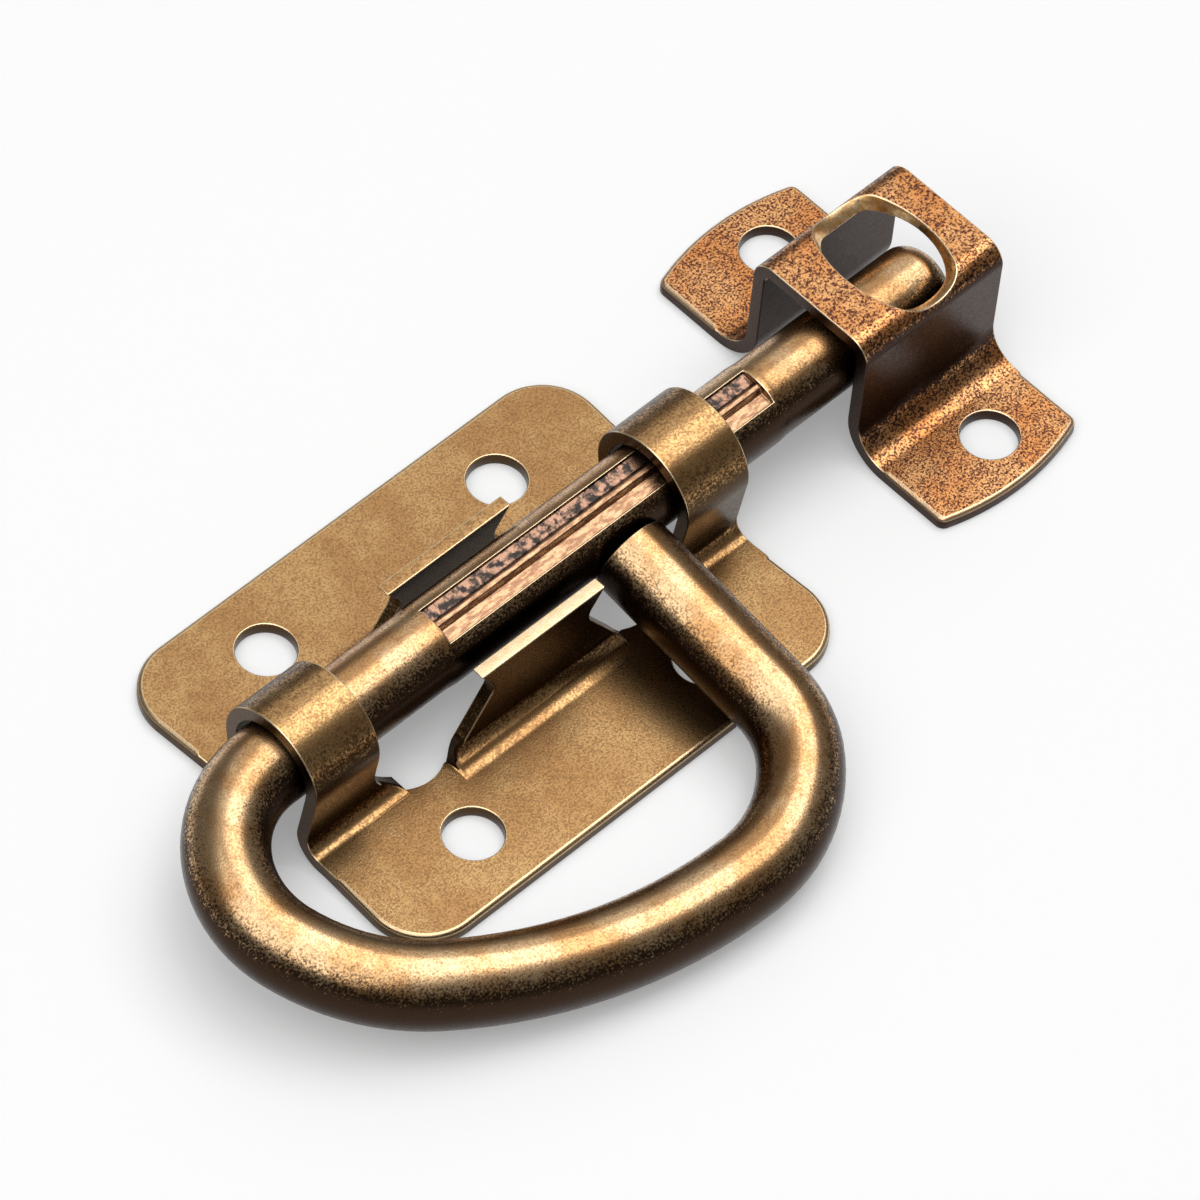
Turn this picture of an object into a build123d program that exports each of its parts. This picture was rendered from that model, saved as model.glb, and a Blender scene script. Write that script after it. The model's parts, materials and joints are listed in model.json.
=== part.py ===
from build123d import *
from math import acos, asin, atan2, cos, degrees, hypot, radians, sin, sqrt, tan
import os

# A surface barrel bolt: a formed plate with two loops, a bent rod with a D handle, and a strike.
# X runs along the rod towards the strike, the handle lies on the -Y side, and Z = 0 is the board.

# Stock, mm
sheet_t = 1.1            # steel strip of plate and strike
rod_d = 6.35             # quarter inch rod
axis_h = 7.6             # rod axis above the board

# Plate
plate_l = 42.5
plate_w = 32.0
plate_corner_r = 4.6
plate_flare = 0.55       # each end runs out this much towards its corners
plate_hole_d = 4.5       # clears a number 8 screw
plate_pitch_x = 22.8
plate_pitch_y = 21.3

# Loops round the rod, one at each end of the plate
loop_w = 6.15
loop_clear = 0.35        # rod to loop, all round
loop_lean = 7.5          # degrees the legs close in under the rod
loop_foot_r = 1.3        # hollow side of the bend into the flange

# Fins between the loops, with a waist below the top edge
fin_clear = 1.1          # rod to fin, each side
fin_rise = 1.65          # top edge above the rod axis
fin_foot_r = 1.8
fin_waist_drop = 2.25    # waist below the top edge
fin_hook = 1.65          # top corner beyond the waist
fin_waist_r = 1.2
fin_root_r = 2.3
fin_root_slope = 55.5    # degrees the fin's end stands up from its root

# Windows between fins and loops
window_r = 4.9           # round at the loop's leg
window_flat = 0.2        # bottom between that round and the fin's root
window_sink = 0.5        # bottom below the top of the flange
window_reach = 5.35      # end of the window on the flange, from the rod axis
window_toe = 4.2         # half length of the oval that ends it

# Handle, bent from the rod as five tangent arcs and a straight arm
handle_gap = 0.4         # first bend after the loop
neck_r = 8.8
neck_turn = 106.2
shoulder_r = 16.3
shoulder_turn = 39.2
elbow_r = 11.9
elbow_turn = 50.0
arm_bend_r = 8.0
butt_gap = 0.15          # flat end of the arm off the rod's side
board_clear = 0.05       # handle lying over the board
edge_clear = 0.3         # least room over the plate's edge

# Rod
tip_r = 1.8
tip_short = 2.65         # tip short of the strike's far side
coin_l = 32.0
coin_x = 10.0            # middle of the coined flat
coin_w = 3.2
coin_depth = 0.6
coin_ridge_h = 0.4       # ridge between the two grooves
coin_ridge_w = 0.9
coin_ridge_slope = 60    # degrees
coin_swell = 0.1         # rod squeezed out by the coining
coin_fade = 1.0          # length over which it tapers back

# Strike
strike_gap = 11.6        # plate to strike
strike_w = 14.1
strike_l = 31.7
strike_shift = 1.2       # strike's middle beyond the rod axis
strike_side_clear = 0.3
strike_top_clear = 0.625
strike_top_r = 1.8
strike_foot_r = 2.7
ear_bow = 1.2            # rise of each ear's curved end
ear_corner_r = 0.8
ear_hole_d = 4.4
ear_pitch = 22.8
ear_hole_shift = 1.2     # holes beyond the middle of the strip
top_hole_x = 7.8
top_hole_y = 10.9
top_hole_shift = 0.4

# Places that follow from the sizes
rod_r = rod_d / 2
plate_end = plate_l / 2
plate_side = plate_w / 2
loop_x = plate_end - loop_w
window_z = sheet_t - window_sink
fin_y = rod_r + fin_clear
fin_top = axis_h + fin_rise
waist_z = fin_top - fin_waist_drop
root_x = loop_x - window_r - window_flat - fin_root_r * tan(radians(fin_root_slope / 2))
waist_x = root_x - (waist_z - window_z) / tan(radians(fin_root_slope))
hook_x = waist_x + fin_hook
arm_x = (hook_x + loop_x) / 2
strike_x0 = plate_end + strike_gap
strike_x1 = strike_x0 + strike_w
strike_mid = (strike_x0 + strike_x1) / 2
strike_in = rod_r + strike_side_clear + strike_shift
strike_top = axis_h + rod_r + strike_top_clear + sheet_t
tip_x = strike_x1 - tip_short
above = 2 * strike_top   # clears everything upwards


def strip(path, x0, x1):
    """A strip of sheet bent along a YZ path and running from x0 to x1."""
    return extrude(Plane.YZ.offset(x0) * trace(path, sheet_t), x1 - x0)


def both_sides(shape, plane):
    return shape + mirror(shape, about=plane)


def loop_path():
    """Flange, leg, round over the rod, leg and flange of one loop, as one tangent line."""
    lean = radians(loop_lean)
    round_r = rod_r + loop_clear + sheet_t / 2
    foot_r = loop_foot_r + sheet_t / 2
    foot_z = sheet_t + loop_foot_r
    foot_y = (round_r + foot_r) / cos(lean) - (axis_h - foot_z) * tan(lean)
    crown = CenterArc((0, axis_h), round_r, -loop_lean, 180 + 2 * loop_lean)
    foot = CenterArc((foot_y, foot_z), foot_r, 180 - loop_lean, 90 + loop_lean)
    side = Curve() + [Line(crown @ 0, foot @ 0), foot, Line(foot @ 1, (plate_side, sheet_t / 2))]
    return Curve() + [crown, side, mirror(side, about=Plane.YZ)]


def fin_path():
    wall = fin_y + sheet_t / 2
    corners = [(wall, fin_top), (wall, sheet_t / 2), (plate_side, sheet_t / 2)]
    return FilletPolyline(*corners, radius=fin_foot_r + sheet_t / 2)


def window_outline():
    """Side view of one window, from the loop's straight edge round the bottom and up the fin's end."""
    corners = [
        (loop_x, above),
        (loop_x, window_z),
        (root_x, window_z),
        (waist_x, waist_z),
        (hook_x, fin_top),
    ]
    return FilletPolyline(*corners, radius=[window_r, fin_root_r, fin_waist_r])


def flange_crossings(side):
    """The two places where the side view of a window meets the top of the flange."""
    level = Line((0, sheet_t), (plate_end, sheet_t))
    return [point.X for edge in side.edges() for point in edge.find_intersection_points(level)]


def window_cut(side, mid):
    """The side view cut across everything over the flange, and an oval end cut through the flange."""
    outline = make_face(Curve() + [side, Polyline(side @ 1, (hook_x, above), side @ 0)])
    across = extrude(Plane.XZ * outline, plate_side, both=True)
    over_flange = Pos(0, 0, sheet_t + above / 2) * Box(plate_l, plate_w, above)
    return (across & over_flange) + extrude(Pos(mid, 0) * Ellipse(window_toe, window_reach), sheet_t)


def plate_outline():
    """Rounded plate whose ends are straight at the loops and run out towards the corners."""
    bend_y = rod_r + loop_clear + sheet_t + loop_foot_r
    half = Polyline(
        (-plate_end, 0), (-plate_end, bend_y), (-plate_end - plate_flare, plate_side),
        (plate_end + plate_flare, plate_side), (plate_end, bend_y), (plate_end, 0), close=True,
    )
    half = make_face(half)
    half = fillet(half.vertices().sort_by(Axis.Y)[-2:], plate_corner_r)
    holes = GridLocations(plate_pitch_x, plate_pitch_y, 2, 2) * Circle(plate_hole_d / 2)
    return both_sides(half, Plane.XZ) - holes


def latch_plate():
    """One pressed sheet: flanges, two fins cut flat at the top, and a loop at each end."""
    side = window_outline()
    mid = sum(flange_crossings(side)) / 2
    loop = strip(loop_path(), mid, plate_end + plate_flare)
    fins = both_sides(strip(fin_path(), -mid, mid), Plane.XZ)
    body = both_sides(loop, Plane.YZ) + fins
    body -= both_sides(window_cut(side, mid), Plane.YZ)
    return body & extrude(plate_outline(), above)


def handle_path():
    """Tangent arcs in the XY plane from the rod's end round to the arm, which ends just off the rod."""
    sweep_turn = 180 - neck_turn - shoulder_turn
    bends = [
        (neck_r, neck_turn),
        (shoulder_r, shoulder_turn),
        (0, sweep_turn),
        (elbow_r, elbow_turn),
        (arm_bend_r, 90 - elbow_turn),
    ]
    # the long sweep takes the radius that brings the arm to its place
    start_x = -plate_end - handle_gap
    heading = 180
    run = arm_x - start_x
    for radius, turn in bends:
        run -= radius * (sin(radians(heading)) - sin(radians(heading - turn)))
        heading -= turn
    bends[2] = (run / sin(radians(sweep_turn)), sweep_turn)
    point = Vector(start_x, 0)
    tangent = Vector(-1, 0)
    arcs = []
    for radius, turn in bends:
        arcs.append(JernArc(point, tangent, radius, turn))
        point = arcs[-1] @ 1
        tangent = arcs[-1] % 1
    reach = -min(arc.bounding_box().min.Y for arc in arcs)
    return Curve() + arcs + [Line(point, (point.X, -rod_r - butt_gap))], reach


def bolt():
    """Rod and handle of one bent bar, tipped so that the handle lies on the board."""
    path, reach = handle_path()
    swell_r = rod_r + coin_swell
    coin_0 = coin_x - coin_l / 2
    coin_1 = coin_x + coin_l / 2
    half = Polyline(
        (tip_x - tip_r, rod_r),
        (coin_1 + coin_fade, rod_r),
        (coin_1, swell_r),
        (coin_0, swell_r),
        (coin_0 - coin_fade, rod_r),
        (-plate_end - handle_gap, rod_r),
        (-plate_end - handle_gap, 0),
        (tip_x, 0),
        (tip_x, rod_r - tip_r),
    )
    nose = CenterArc((tip_x - tip_r, rod_r - tip_r), tip_r, 0, 90)
    rod = revolve(make_face(Curve() + [half, nose]), Axis.X)
    bar = sweep(Plane(origin=path @ 0, z_dir=path % 0) * Circle(rod_r), path=path)
    floor = rod_r - coin_depth
    on_floor = (Align.CENTER, Align.MIN)
    ridge = Trapezoid(coin_ridge_w, coin_ridge_h, coin_ridge_slope, align=on_floor)
    coin = Pos(0, floor) * (Rectangle(coin_w, rod_r, align=on_floor) - ridge)
    body = rod + bar - extrude(Plane.YZ.offset(coin_0) * coin, coin_l)
    # the handle rests on the board, or over the edge of a wide plate
    on_board = asin((axis_h - rod_r - board_clear) / reach)
    over = axis_h - sheet_t - edge_clear
    on_edge = acos(rod_r / hypot(over, plate_side)) - atan2(plate_side, over)
    return Pos(0, 0, axis_h) * Rot(degrees(min(on_board, on_edge)), 0, 0) * body


def strike():
    """Hat shaped strip that takes the rod's end, with two curved ears and an oval hole in its top."""
    mid = sheet_t / 2
    wall = strike_in + mid
    end = strike_l / 2
    corners = [
        (-end, mid), (-wall, mid), (-wall, strike_top - mid),
        (wall, strike_top - mid), (wall, mid), (end, mid),
    ]
    foot_r = strike_foot_r + mid
    crown_r = strike_top_r - mid
    hat = FilletPolyline(*corners, radius=[foot_r, crown_r, crown_r, foot_r])
    body = Pos(0, strike_shift) * strip(hat, strike_x0, strike_x1)
    # ends bowed outwards between rounded corners
    half = strike_w / 2
    near = ThreePointArc((-half, ear_bow - end), (0, -end), (half, ear_bow - end))
    sides = Polyline((half, ear_bow - end), (half, 0), (-half, 0), (-half, ear_bow - end))
    ear = make_face(Curve() + [near, sides])
    ear = fillet(ear.vertices().sort_by(Axis.Y)[:2], ear_corner_r)
    outline = both_sides(ear, Plane.XZ)
    holes = Locations((ear_hole_shift, -ear_pitch / 2), (ear_hole_shift, ear_pitch / 2))
    outline -= holes * Circle(ear_hole_d / 2)
    body &= Pos(strike_mid, strike_shift) * extrude(outline, above)
    return body - Pos(strike_mid + top_hole_shift, strike_shift) * top_hole()


def top_hole():
    """Oval hole that widens upwards across the strip, square to the sheet where it meets the bends."""
    bend_y = strike_in + sheet_t - strike_top_r
    edge = top_hole_y / 2 - bend_y
    spread = edge / sqrt(strike_top_r**2 - edge**2)
    low = strike_top - strike_top_r
    mouth = Ellipse(top_hole_x / 2, bend_y + 2 * strike_top_r * spread)
    return loft([Pos(0, 0, low) * Ellipse(top_hole_x / 2, bend_y), Pos(0, 0, low + 2 * strike_top_r) * mouth])


os.makedirs("parts", exist_ok=True)
for make in (latch_plate, bolt, strike):
    solid = make()
    solid.label = make.__name__
    export_step(solid, f"parts/{make.__name__}.step")
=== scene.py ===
# %% [markdown]
# A bunk latch in antique brass. The imported CAD model gives three pieces at their true size:
# the pressed plate with its loops, the bent rod with its handle, and the strike. This lesson
# gives each of them soft pressed edges and a worn plated finish, with painted shade on the
# sides that face away from the light and painted highlights on some faces, then lights it as
# a catalogue would. We start by loading the frame and keeping the size of the CAD model.

# %% Load the CAD frame
import json
import math

import bmesh
import bpy
from mathutils import Matrix, Vector


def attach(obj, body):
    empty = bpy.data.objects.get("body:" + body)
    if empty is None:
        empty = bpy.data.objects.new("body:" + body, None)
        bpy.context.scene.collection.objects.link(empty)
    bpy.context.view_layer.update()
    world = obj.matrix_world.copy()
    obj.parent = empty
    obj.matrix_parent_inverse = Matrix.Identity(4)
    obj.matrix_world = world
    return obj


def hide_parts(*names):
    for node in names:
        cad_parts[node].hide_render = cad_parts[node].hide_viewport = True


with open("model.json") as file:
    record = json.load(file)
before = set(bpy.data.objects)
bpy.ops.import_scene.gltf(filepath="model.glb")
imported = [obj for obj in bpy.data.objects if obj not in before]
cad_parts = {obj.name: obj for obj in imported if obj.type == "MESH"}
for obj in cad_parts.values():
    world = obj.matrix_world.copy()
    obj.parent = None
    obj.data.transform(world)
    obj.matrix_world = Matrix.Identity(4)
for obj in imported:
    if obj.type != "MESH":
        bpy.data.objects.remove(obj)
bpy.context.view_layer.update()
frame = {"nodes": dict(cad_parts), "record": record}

MM = 0.001

# %% [markdown]
# The photograph is a long lens view from above and to the left of the handle. The camera is
# described as a studio would note it: how far round, how high, how far away and how much it is
# twisted. A long lens, nearly 300 mm on a full frame, keeps the two ends of the rod the same
# size. From these numbers we build the camera's own axes, so that no constraint is needed.

# %% Camera
AROUND, HEIGHT, TWIST = (math.radians(angle) for angle in (-49.202, 53.564, 6.134))
DISTANCE = 700 * MM
LOOK_AT = Vector((10.078, -1.479, 0)) * MM
LENS, FILM = 292.99, 36    # both in millimetres, the unit Blender keeps them in
NEAREST, FARTHEST = 0.05, 20

back = Vector((math.sin(AROUND) * math.cos(HEIGHT), -math.cos(AROUND) * math.cos(HEIGHT),
               math.sin(HEIGHT)))
level = Vector((math.cos(AROUND), math.sin(AROUND), 0))
right = Matrix.Rotation(TWIST, 3, back) @ level
upwards = back.cross(right)

camera = bpy.data.objects.new("studio_camera", bpy.data.cameras.new("studio_camera"))
bpy.context.collection.objects.link(camera)
camera.data.lens = LENS
camera.data.sensor_width = FILM
camera.data.clip_start = NEAREST
camera.data.clip_end = FARTHEST
axes = Matrix((right, upwards, back)).transposed().to_4x4()
camera.matrix_world = Matrix.Translation(LOOK_AT + back * DISTANCE) @ axes
bpy.context.scene.camera = camera
print("camera stands at", [round(v / MM, 1) for v in camera.location], "mm")

# %% [markdown]
# Node trees are long to write by hand. One small function adds a node, sets its fields and
# fills its inputs, and one more turns a colour given as an sRGB hex value into the linear
# numbers that the renderer works with.

# %% Two helpers for materials
def linear(colour):
    """An sRGB hex value such as B08C5C as linear red, green, blue and a full alpha."""
    parts = [int(colour[i:i + 2], 16) / 255 for i in (0, 2, 4)]
    return [p / 12.92 if p <= 0.04045 else ((p + 0.055) / 1.055) ** 2.4 for p in parts] + [1.0]


def add(tree, kind, inputs, out=0, **fields):
    """Adds a node and gives back one of its outputs. Inputs go by name, or by number where the
    names repeat, and are filled with a socket, a hex colour or a number."""
    node = tree.nodes.new("ShaderNode" + kind)
    for name, value in fields.items():
        setattr(node, name, value)
    for place, value in inputs.items():
        if isinstance(value, bpy.types.NodeSocket):
            tree.links.new(value, node.inputs[place])
        else:
            node.inputs[place].default_value = linear(value) if isinstance(value, str) else value
    return node.outputs[out] if node.outputs else None


print("a wiped brass, B68852, is", [round(part, 3) for part in linear("B68852")], "in linear")

# %% [markdown]
# Pressed steel has no knife edges. Where a punch has cut the outline of a flange, the sheet is
# drawn down into a broad round, and everywhere else the edge is only broken. So each CAD piece
# gets a dressed copy: the copy is merged, its flat faces are joined into single ones, and then
# the two kinds of edge are bevelled, the broad ones first. We find the broad ones by asking
# what a maker would: is it on top of a flange, and away from the bends and the screw holes?
# A flange is flat from a certain distance off the piece's middle, and a cut is made there with
# bisect_plane, so that the broad bevel has long edges to end on and needs no clamping.

# %% Find the drawn down edges
SHEET = 1.1 * MM
DRAWN, BROKEN = 0.38 * MM, 0.11 * MM    # widths of the broad and of the small bevel
SHARP = math.radians(35)
LOOKS_UP, STANDS = 0.95, 0.3            # least and most of a normal that points up
SAME_HEIGHT = 0.05 * MM
HOLE_ROOM = 1.2                         # an edge this many radii off a hole isn't the hole's
TIGHT = Vector((15.2, 7.3, 2.6)) * MM   # half sizes and height round the windows' low ends
# The middle of each piece across the rod, and how far off it the flanges are flat. The rod has
# no flange, so its cut lies a metre away.
FLAT_FROM = {"latch_plate": (0.0, 7.4 * MM), "strike": (1.2 * MM, 9.0 * MM), "bolt": (0.0, 1.0)}


def screw_holes():
    """Centres and radius of every screw hole, from the mounts in the record."""
    holes = []
    for mount in frame["record"]["mounts"]:
        size = mount["dims"]
        if "hole_r_mm" in size:
            half_x, half_y = (size.get(f"spacing_{side}_mm", 0) / 2 * MM for side in "xy")
            for x in {-half_x, half_x}:    # a set, because the strike's holes stand in one row
                for y in (-half_y, half_y):
                    centre = Vector(mount["pos_m"]) + Vector((x, y, SHEET))
                    holes.append((centre, size["hole_r_mm"] * MM))
    return holes


def middle(edge):
    return (edge.verts[0].co + edge.verts[1].co) / 2


def is_drawn(edge, centre, start):
    """True for the outer top edge of a flange that is flat from start off the centre."""
    tilts = [face.normal.z for face in edge.link_faces]
    top_meets_side = max(tilts) > LOOKS_UP and min(abs(tilt) for tilt in tilts) < STANDS
    on_top = all(abs(vert.co.z - SHEET) < SAME_HEIGHT for vert in edge.verts)
    off_holes = all((middle(edge) - hole).length > r * HOLE_ROOM for hole, r in HOLES)
    return top_meets_side and on_top and off_holes and abs(middle(edge).y - centre) > start


def is_tight(edge):
    """True at the low ends of the windows, whose corners are too small to be rounded."""
    spot = middle(edge)
    return abs(spot.x) < TIGHT.x and abs(spot.y) < TIGHT.y and spot.z < TIGHT.z


HOLES = screw_holes()
print(len(HOLES), "screw holes")

# %% [markdown]
# Before it is dressed, a piece is made whole. The CAD mesh is loose patches of triangles, one
# for each face of the solid, so the points where patches meet are merged, and the triangles
# that lie in one plane are joined. The cuts across the flanges are marked as seams, which keeps
# the joining from undoing them.

# %% Make a piece whole
MERGE = 0.0005 * MM
ON_PLANE = 0.0001 * MM
ONE_PLANE = math.radians(0.2)


def whole(node, centre, start):
    """The CAD piece with joined faces and a seam where each flange begins."""
    bm = bmesh.new()
    bm.from_mesh(frame["nodes"][node].data)
    bmesh.ops.remove_doubles(bm, verts=bm.verts, dist=MERGE)
    for y in (centre - start, centre + start):
        cut = bmesh.ops.bisect_plane(bm, geom=bm.verts[:] + bm.edges[:] + bm.faces[:],
                                     dist=ON_PLANE, plane_co=(0, y, 0), plane_no=(0, 1, 0))
        for part in cut["geom_cut"]:
            if isinstance(part, bmesh.types.BMEdge):
                part.seam = True
    bmesh.ops.dissolve_limit(bm, angle_limit=ONE_PLANE, verts=bm.verts, edges=bm.edges,
                             delimit={"SEAM"})
    bm.normal_update()
    print(node, "joined to", len(bm.faces), "faces")
    return bm


# %% [markdown]
# Two things are noted on the mesh while it is dressed. Every face remembers if it is a worn
# edge, and every point remembers how far it faces the light way. The second is an average over
# the faces round the point, weighted by their area, so that a broken edge doesn't tint the flat
# beside it. The finish reads both later: it paints shade where a point faces away from the
# light, and paints a highlight on worn edges only where they face it.

# %% Dress a CAD piece
WORN_DRAWN, WORN_BROKEN = 0.6, 1.0    # how bare each kind of edge has been rubbed
DRAWN_STEPS, BROKEN_STEPS = 4, 2


def weighted_normal(vert):
    total = Vector()
    for face in vert.link_faces:
        total += face.normal * face.calc_area()
    return total.normalized() if total.length > 0 else vert.normal


def sharp_edges(bm):
    return [e for e in bm.edges if len(e.link_faces) == 2 and e.calc_face_angle(0) > SHARP]


def rounded(bm, edges, width, steps):
    """Bevels the edges and gives back the faces this makes."""
    print("  bevels", len(edges), "edges by", round(width / MM, 2), "mm")
    return bmesh.ops.bevel(bm, geom=edges, offset=width, offset_type="OFFSET", affect="EDGES",
                           segments=steps, profile=0.5, material=-1,
                           clamp_overlap=False)["faces"]


def dressed(node, light_way, note):
    """A copy of a CAD node with rounded edges. The second argument is the way the light comes
    from; the finish paints shade on the points that face away from it.
    """
    centre, start = FLAT_FROM[node]
    bm = whole(node, centre, start)
    worn = bm.faces.layers.float.new("worn")
    marked = bm.faces.layers.float.new("marked")
    # How far each point faces the light way; the finish paints shade where this is low.
    light_facing = bm.verts.layers.float.new("light_facing")
    drawn = [e for e in sharp_edges(bm) if is_drawn(e, centre, start)]
    for face in rounded(bm, drawn, DRAWN, DRAWN_STEPS):
        face[worn] = WORN_DRAWN
    broken = [e for e in sharp_edges(bm) if not is_tight(e)]
    for face in rounded(bm, broken, BROKEN, BROKEN_STEPS):
        face[worn] = WORN_BROKEN
    bm.normal_update()
    for face in bm.faces:
        face.smooth = True
        face[marked] = note(face)
    way = Vector(light_way).normalized()
    for vert in bm.verts:
        vert[light_facing] = 0.5 + 0.5 * weighted_normal(vert).dot(way)
    mesh = bpy.data.meshes.new(node + "_finished")
    bm.to_mesh(mesh)
    bm.free()
    piece = bpy.data.objects.new(node + "_finished", mesh)
    bpy.context.collection.objects.link(piece)
    piece.modifiers.new("even shading", "WEIGHTED_NORMAL").keep_sharp = True
    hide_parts(node)
    return piece


# %% [markdown]
# Some faces get a colour of their own. The top of the fin on the handle's side is a bare cut
# edge that the handle has rubbed bright. The coined flat on the rod has two grooves: the far one
# is painted dark as shade and the near one lighter as its lit side. The wall of the strike's
# hole gets a painted highlight. All are found by their place, in the frame's own millimetres,
# and marked 1, or 0.5 where a piece has a second such mark.

# %% Faces with a finish of their own
FIN_TOP = 9.25 * MM
AXIS = Vector((0, 0, 7.6)) * MM
ROD = 3.175 * MM
COIN = (-6.1 * MM, 26.1 * MM)
COIN_DEEP = 0.08 * MM                   # deeper than this, a face belongs to the coined flat
ACROSS_COIN = Vector((0, 0.987, 0.161))
RIDGE = 0.4 * MM
HOLE = Vector((40.3, 1.2, 12.0)) * MM
HOLE_HALF = Vector((4.2, 7.5, 1.6)) * MM


def fin_top(face):
    spot = face.calc_center_median()
    level_top = face.normal.z > LOOKS_UP and abs(spot.z - FIN_TOP) < SAME_HEIGHT
    return float(level_top and spot.y < 0)


# Painted light and shade on the coined flat: the far groove is marked to be painted dark as
# shade, the near one lighter as its lit side.
def coin_grooves_lit_and_shaded(face):
    spot = face.calc_center_median()
    off = spot - AXIS
    depth = ROD - math.hypot(off.y, off.z)
    if not (COIN[0] < spot.x < COIN[1] and depth > COIN_DEEP and off.z > 0):
        return 0.0
    return 1.0 if off.dot(ACROSS_COIN) > RIDGE else 0.5


# A painted highlight on the inward facing wall of the strike's hole.
def hole_wall_highlight(face):
    inward = HOLE - face.calc_center_median()
    near = all(abs(gap) < half for gap, half in zip(inward, HOLE_HALF))
    flat_in = Vector((inward.x, inward.y, 0)).normalized()
    return float(near and -0.2 < face.normal.z < 0.9 and face.normal.dot(flat_in) > 0.3)


# %% [markdown]
# Now the three pieces are dressed. The light way for the painted shade comes from above and a
# little from the handle's side on the plate and the strike. On the rod it comes from the far
# side, which paints the low flank of the handle dark as shade. The plate and the strike are
# screwed down and ride on the base, and the rod turns with its joint.

# %% The three pieces
plate = dressed("latch_plate", (0, -0.22, 1), fin_top)
rod = dressed("bolt", (-0.05, 0.1, 1), coin_grooves_lit_and_shaded)
strike = dressed("strike", (0, -0.1, 1), hole_wall_highlight)
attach(plate, "base")
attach(strike, "base")
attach(rod, "bolt")

# %% [markdown]
# Antique brass starts as a bright plating on steel. A bath darkens it, a cloth wipes it bright
# again where it reaches, and a thin clear lacquer seals it. To the eye that is a warm metal
# with a pale sheen over it, a fine dark speckle where the bath bit and slow clouds of tone. The
# dark on the flanks is painted shade, on the sides that face away from the light. The border
# between lit and painted shade is never a clean line, so the same noise that makes the speckle
# also frays it. All patterns are measured in millimetres. The real speckle is finer than a
# tenth of a millimetre, too fine to show from the camera, so it is drawn nearly twice as coarse.

# %% Patterns in the plating
TO_MM = (1000, 1000, 1000)
ALONG_ROD = (300, 1000, 1000)    # pulls a pattern out along the rod, as drawing does
CLOUD, STREAK = 5.0, 0.3
BLOTCH = 4                       # blotches are this many grains wide


def patterns(tree, grain):
    """Four noises by name, each with its size in millimetres and its detail."""
    place = add(tree, "TexCoord", {}, out="Object")
    noises = {}
    for name, scale, size, detail in (("fine", TO_MM, grain, 2.0),
                                      ("blotch", TO_MM, grain * BLOTCH, 3.0),
                                      ("cloud", TO_MM, CLOUD, 3.0),
                                      ("streak", ALONG_ROD, STREAK, 2.0)):
        point = add(tree, "Mapping", {"Vector": place, "Scale": scale})
        noises[name] = add(tree, "TexNoise", {"Vector": point, "Scale": 1 / size,
                                              "Detail": detail, "Roughness": 0.6})
    return noises


# %% [markdown]
# First comes the tone of the plating, in two slowly changing colours. The speckle is laid over
# it, then painted shade on the sides that face away from the light, then the bare metal of the
# worn edges, painted as a highlight only where they face the light, and last the marked faces,
# of which the coin's grooves are painted light and shade and the strike's hole wall a painted
# highlight. The lacquer shows its sheen only where no shade is painted. A noise hardly leaves
# the middle of its range, so the ranges below start and end close to 0.5.

# %% Antique plating
NOISE = (0.38, 0.62)         # a soft change from one tone to the other
MARK_NOISE = (0.4, 0.62)
PITS = (0.57, 0.43)          # backwards, so that the low parts of the noise are the pits
SHADE_TO_LIGHT = (0.74, 0.95)         # from full painted shade to none, by how far a point faces the light way
EDGE_UP = (0.6, 0.85)        # worn edges get their bare colour as a painted highlight only where they face the light way
FRAY = 0.6                   # how far the speckle pulls the border of the painted shade about
FINE_SHARE = 0.75            # the rest of the speckle is blotches
PITTED = (0.35, 0.65)        # from the bottom of a pit to the metal between the pits
DULLER, SHINIER = 0.1, 0.05  # what that adds to the roughness, and what it takes off
LACQUER, LACQUER_ROUGH = 0.5, 0.3
PIT_DEPTH = 0.02 * MM


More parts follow.
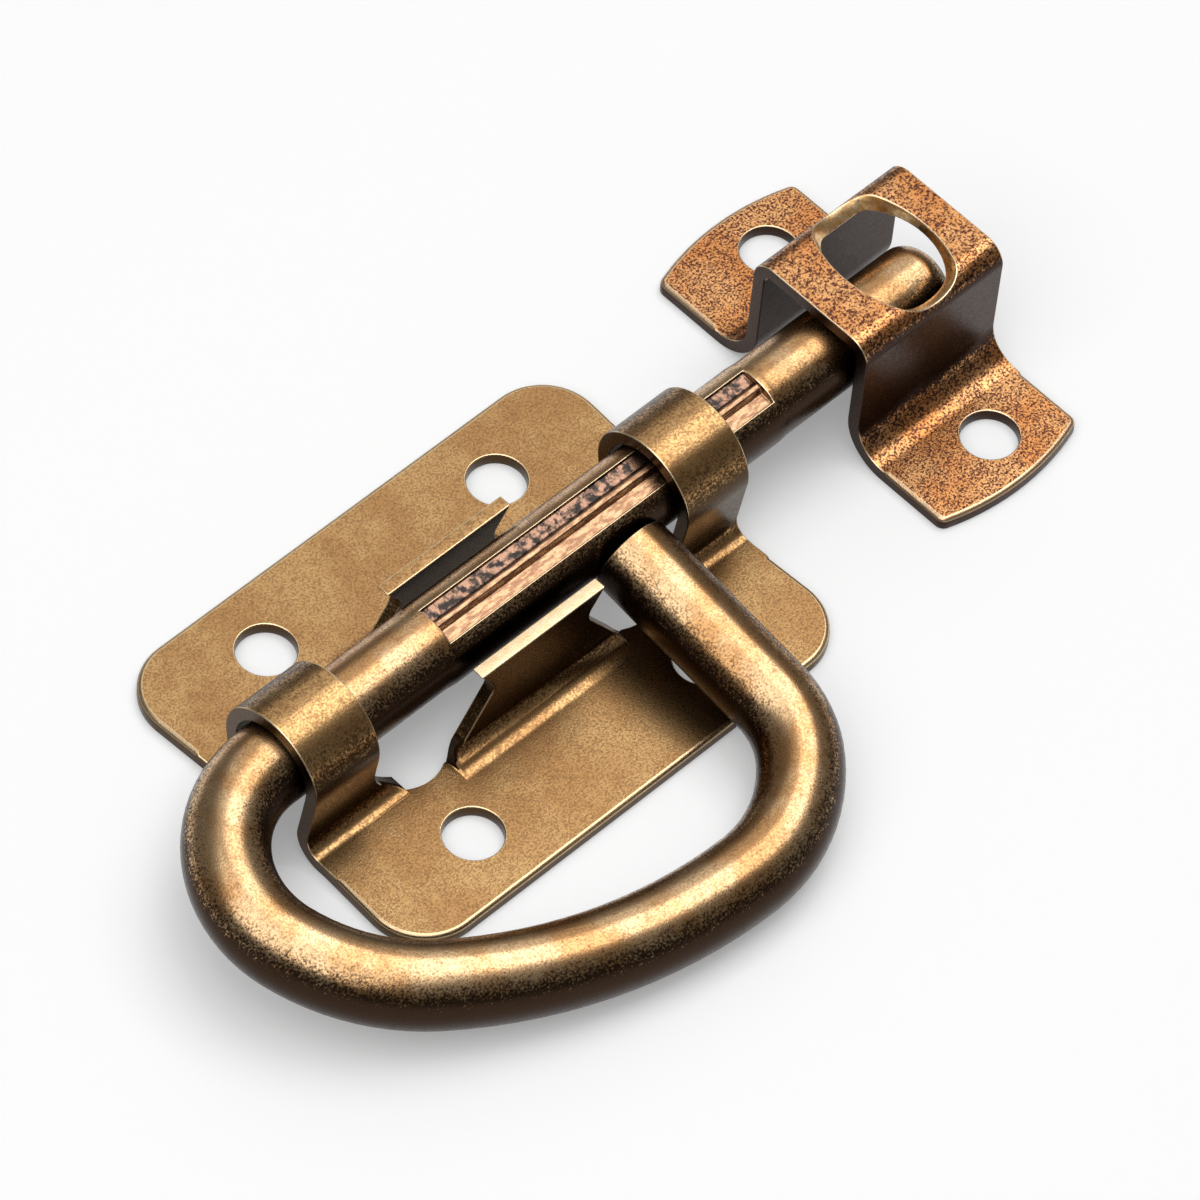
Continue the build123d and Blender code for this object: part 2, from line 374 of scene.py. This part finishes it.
def antique(name, painted_shade, body, bright, pit, bare_edge_highlight, grain, speckle, rough, marks):
    """The colours are, in order: the painted shade on the sides facing away from the light, the
    two tones of the plating, the bath's pits, and the worn edges' bare metal, painted as a
    highlight where they face the light. Each mark is the least value a face is marked with, a
    pattern, and a dark and a light colour."""
    material = bpy.data.materials.new(name)
    material.use_nodes = True
    tree = material.node_tree
    tree.nodes.clear()
    noises = patterns(tree, grain)
    worn, marked, light_facing = (add(tree, "Attribute", {}, out="Fac", attribute_name=fact)
                           for fact in ("worn", "marked", "light_facing"))

    clouded = add(tree, "MapRange", {"Value": noises["cloud"], "From Min": NOISE[0],
                                     "From Max": NOISE[1]}, interpolation_type="SMOOTHSTEP")
    coat = add(tree, "Mix", {0: clouded, 6: body, 7: bright}, out=2, data_type="RGBA")

    most = add(tree, "Math", {0: noises["fine"], 1: FINE_SHARE}, operation="MULTIPLY")
    rest = add(tree, "Math", {0: noises["blotch"], 1: 1 - FINE_SHARE}, operation="MULTIPLY")
    bite = add(tree, "Math", {0: most, 1: rest}, operation="ADD")
    bitten = add(tree, "MapRange", {"Value": bite, "From Min": PITS[0], "From Max": PITS[1],
                                    "To Max": speckle})
    coat = add(tree, "Mix", {0: bitten, 6: coat, 7: pit}, out=2, data_type="RGBA")

    # Painted shade: where a point faces away from the light the dark colour is painted in, with
    # a border frayed by the speckle.
    ragged = add(tree, "Math", {0: bite, 1: 0.5}, operation="SUBTRACT")
    frayed = add(tree, "Math", {0: ragged, 1: FRAY, 2: light_facing}, operation="MULTIPLY_ADD")
    lit_side = add(tree, "MapRange", {"Value": frayed, "From Min": SHADE_TO_LIGHT[0],
                                   "From Max": SHADE_TO_LIGHT[1]}, interpolation_type="SMOOTHSTEP")
    coat = add(tree, "Mix", {0: lit_side, 6: painted_shade, 7: coat}, out=2, data_type="RGBA")

    # Worn edges: their bare metal colour is painted as a highlight, only where they face the
    # light.
    edge_faces_light = add(tree, "MapRange", {"Value": light_facing, "From Min": EDGE_UP[0],
                                    "From Max": EDGE_UP[1]}, interpolation_type="SMOOTHSTEP")
    worn_and_lit_edge = add(tree, "Math", {0: worn, 1: edge_faces_light}, operation="MULTIPLY")
    coat = add(tree, "Mix", {0: worn_and_lit_edge, 6: coat, 7: bare_edge_highlight}, out=2, data_type="RGBA")

    for least, pattern, dark, light in marks:
        toned = add(tree, "MapRange", {"Value": noises[pattern], "From Min": MARK_NOISE[0],
                                       "From Max": MARK_NOISE[1]},
                    interpolation_type="SMOOTHSTEP")
        own = add(tree, "Mix", {0: toned, 6: dark, 7: light}, out=2, data_type="RGBA")
        chosen = add(tree, "MapRange", {"Value": marked, "From Min": least,
                                        "From Max": least + 0.05},
                     interpolation_type="SMOOTHSTEP")
        coat = add(tree, "Mix", {0: chosen, 6: coat, 7: own}, out=2, data_type="RGBA")

    sheen = add(tree, "MapRange", {"Value": bite, "From Min": PITTED[0], "From Max": PITTED[1],
                                   "To Min": rough + DULLER, "To Max": rough - SHINIER})
    # The lacquer's sheen follows the same mask, so it shows only on the side left free of
    # painted shade.
    lacquer = add(tree, "Math", {0: lit_side, 1: LACQUER}, operation="MULTIPLY")
    uneven = add(tree, "Bump", {"Height": bite, "Strength": 0.5,
                                 "Distance": PIT_DEPTH})
    surface = add(tree, "BsdfPrincipled",
                  {"Base Color": coat, "Metallic": 1.0, "Roughness": sheen, "Normal": uneven,
                   "Coat Weight": lacquer, "Coat Roughness": LACQUER_ROUGH})
    add(tree, "OutputMaterial", {"Surface": surface})
    return material


# %% [markdown]
# All three pieces are brass plated steel from one bath, but they don't look the same. Pressed
# sheet is smooth and even, so the plate is a plain satin brass. The drawn rod took more
# rubbing and is the brightest, with fewer pits. The strike is coppery and strongly speckled,
# because the bath has bitten it deepest.

# %% The three finishes
finishes = {
    # In each finish the first colour is painted shade for the sides facing away from the light,
    # and the worn edges' bare colour is painted as a highlight where they face it.
    plate: antique("antique brass on pressed sheet", painted_shade="4A3722", body="B68852",
                   bright="C89E66", pit="825A32", bare_edge_highlight="F4D8AC", grain=0.18, speckle=0.7,
                   rough=0.27, marks=[(0.9, "blotch", "F0CFA0", "F8DDB4")]),
    rod: antique("antique brass on drawn rod", painted_shade="38291E", body="C8965F",
                 bright="E2BC8C", pit="7A5230", bare_edge_highlight="F6DAB0", grain=0.17, speckle=0.4,
                 # The streak mark paints the near coin groove lighter, as its lit side, with
                 # streaks; the blotch mark paints the far groove dark as shade.
                 rough=0.27, marks=[(0.4, "streak", "8A6448", "C09670"),
                                    (0.9, "blotch", "1E1511", "94705A")]),
    strike: antique("coppery brass on pressed strip", painted_shade="3A2A22", body="E49650",
                    bright="F0B070", pit="5C2C18", bare_edge_highlight="F6D8B0", grain=0.18, speckle=1.0,
                    # This mark is the painted highlight on the wall of the hole.
                    rough=0.29, marks=[(0.9, "blotch", "EAB878", "FFD8A4")]),
}
for piece, material in finishes.items():
    piece.data.materials.clear()
    piece.data.materials.append(material)
    print(piece.name, "wears", material.name)

# %% [markdown]
# The floor is a large pale sheet of paper, three metres wide. It shows as white to the lens and
# in the metal, and still takes the latch's soft shadow: for those rays alone, a little light of
# its own is added to the light that it scatters.

# %% Floor
HALF_WIDTH = 1.5
PAPER_GLOW = 0.25

bm = bmesh.new()
bmesh.ops.create_grid(bm, x_segments=1, y_segments=1, size=HALF_WIDTH)
mesh = bpy.data.meshes.new("paper_floor")
bm.to_mesh(mesh)
bm.free()
floor = bpy.data.objects.new("paper_floor", mesh)
bpy.context.collection.objects.link(floor)

paper = bpy.data.materials.new("white paper")
paper.use_nodes = True
tree = paper.node_tree
tree.nodes.clear()
seen, glossy, through = (add(tree, "LightPath", {}, out=f"Is {way} Ray")
                         for way in ("Camera", "Glossy", "Transmission"))
for ray in (glossy, through):
    seen = add(tree, "Math", {0: seen, 1: ray}, operation="MAXIMUM")
glow = add(tree, "Math", {0: seen, 1: PAPER_GLOW}, operation="MULTIPLY")
surface = add(tree, "BsdfPrincipled", {"Base Color": "E7E7E7", "Roughness": 0.9,
                                       "Emission Color": "FFFFFF", "Emission Strength": glow})
add(tree, "OutputMaterial", {"Surface": surface})
floor.data.materials.append(paper)
print("paper floor", [round(side, 1) for side in floor.dimensions[:2]], "m")

# %% [markdown]
# Metal shows its surroundings more than its own colour, so the lamps are large and few. The key
# box hangs over the strike's end and draws the bright band along the rod, the loops and the
# handle. A larger, weaker box on the handle's side lifts the near bends, and a dim panel behind
# lies where the flat flanges mirror it to the lens, so that they look satin and not black. The
# room round them is dim, which gives the dark flanks between.

# %% Lights
def soft_box(name, towards, distance, size, radiance):
    """A square lamp seen from the latch in one direction, as bright to look at as radiance."""
    lamp = bpy.data.lights.new(name, "AREA")
    lamp.shape = "SQUARE"
    lamp.size = size
    lamp.energy = radiance * math.pi * size ** 2
    holder = bpy.data.objects.new(name, lamp)
    bpy.context.collection.objects.link(holder)
    way = Vector(towards).normalized()
    holder.location = LOOK_AT + way * distance
    holder.rotation_euler = way.to_track_quat("Z", "Y").to_euler()
    print(name, "gives", round(lamp.energy, 2), "W")


soft_box("key_box", (0.32, -0.03, 0.95), distance=0.6, size=0.4, radiance=2.8)
soft_box("fill_box", (-0.45, -0.1, 0.88), distance=0.6, size=0.6, radiance=1.7)
soft_box("back_panel", (0.42, 0.52, 0.74), distance=0.7, size=0.5, radiance=0.75)

world = bpy.data.worlds.new("dim_room")
bpy.context.scene.world = world
world.use_nodes = True
world.node_tree.nodes["Background"].inputs["Color"].default_value = linear("6C6C6C")
bpy.context.scene.view_settings.view_transform = "Standard"
